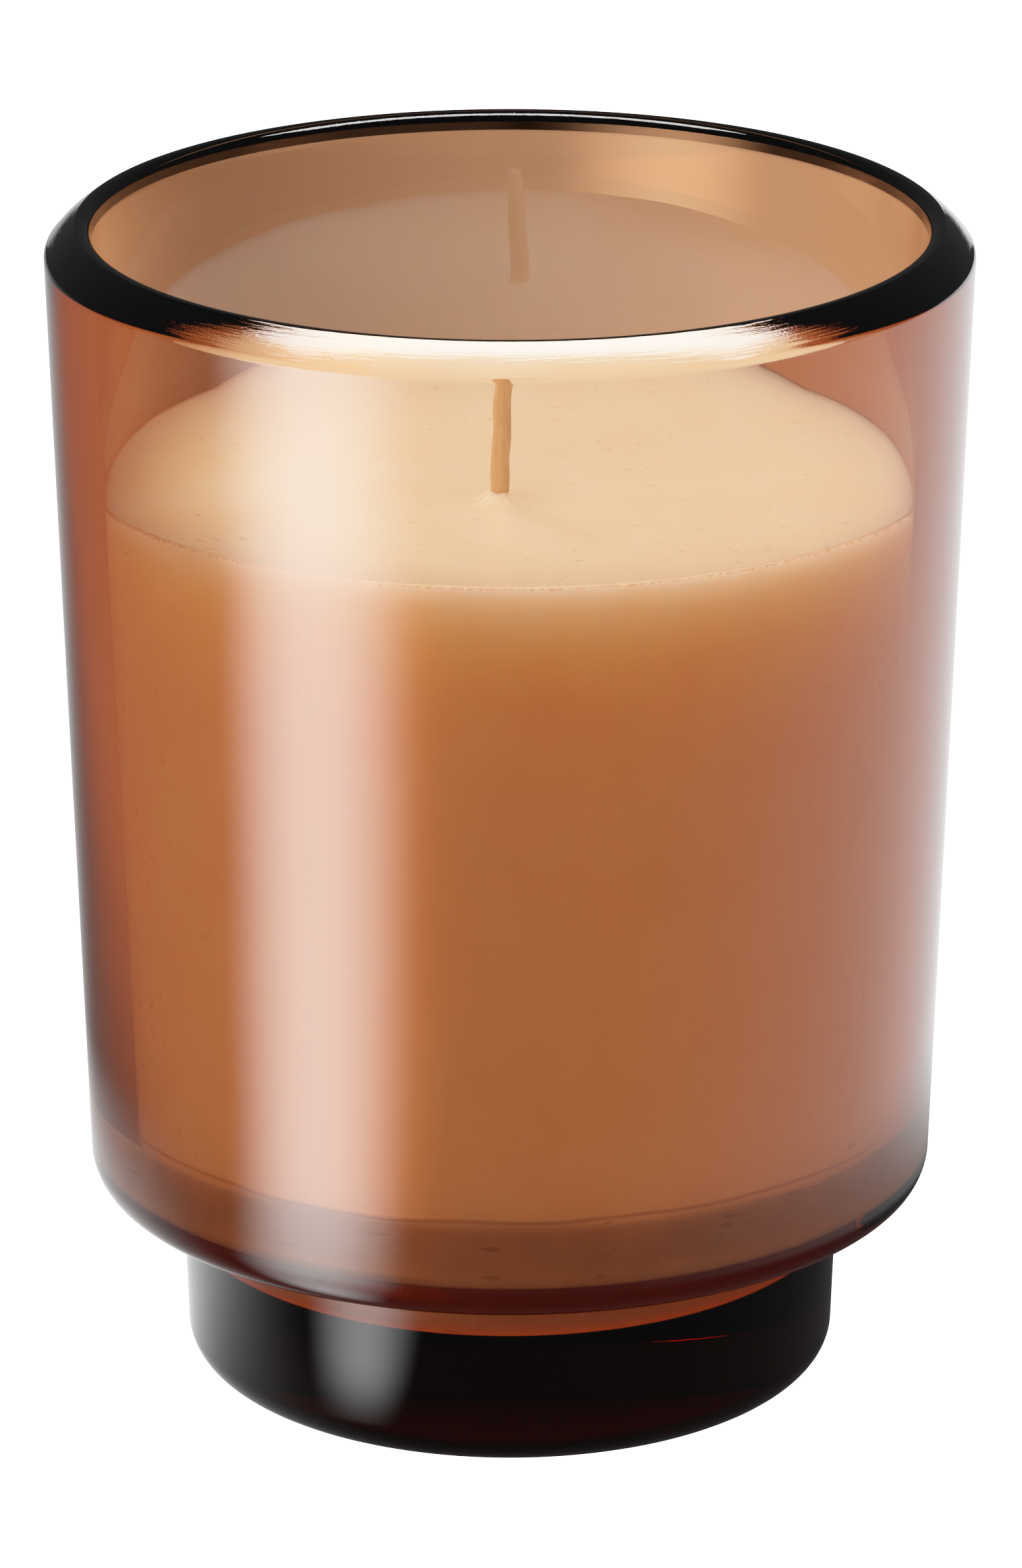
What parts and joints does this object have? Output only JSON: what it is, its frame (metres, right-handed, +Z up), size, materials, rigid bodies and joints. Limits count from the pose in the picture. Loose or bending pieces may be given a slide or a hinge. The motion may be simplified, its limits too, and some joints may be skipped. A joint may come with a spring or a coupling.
{
  "type": "filled container candle",
  "caption": "Amber glass candle vessel on a solid stepped foot, filled with cream wax around one waxed cotton wick held by a steel sustainer.",
  "frame": {"origin": "middle of the plane that the foot rests on", "axes": "+Z up along the vessel's axis, from the foot to the rim; +Y away from the side that the wick leans across"},
  "size_m": [0.08, 0.08, 0.1043],
  "materials": {
    "amber_glass": "polished",
    "cream_wax": "satin",
    "waxed_cotton": "matte",
    "tinned_steel": "satin",
    "white_foam": "matte"
  },
  "bodies": {
    "root": {"glass_jar": "amber_glass", "wax_fill": "cream_wax", "wick": "waxed_cotton", "wick_sustainer": "tinned_steel", "wick_sticker": "white_foam"}
  },
  "joints": []
}
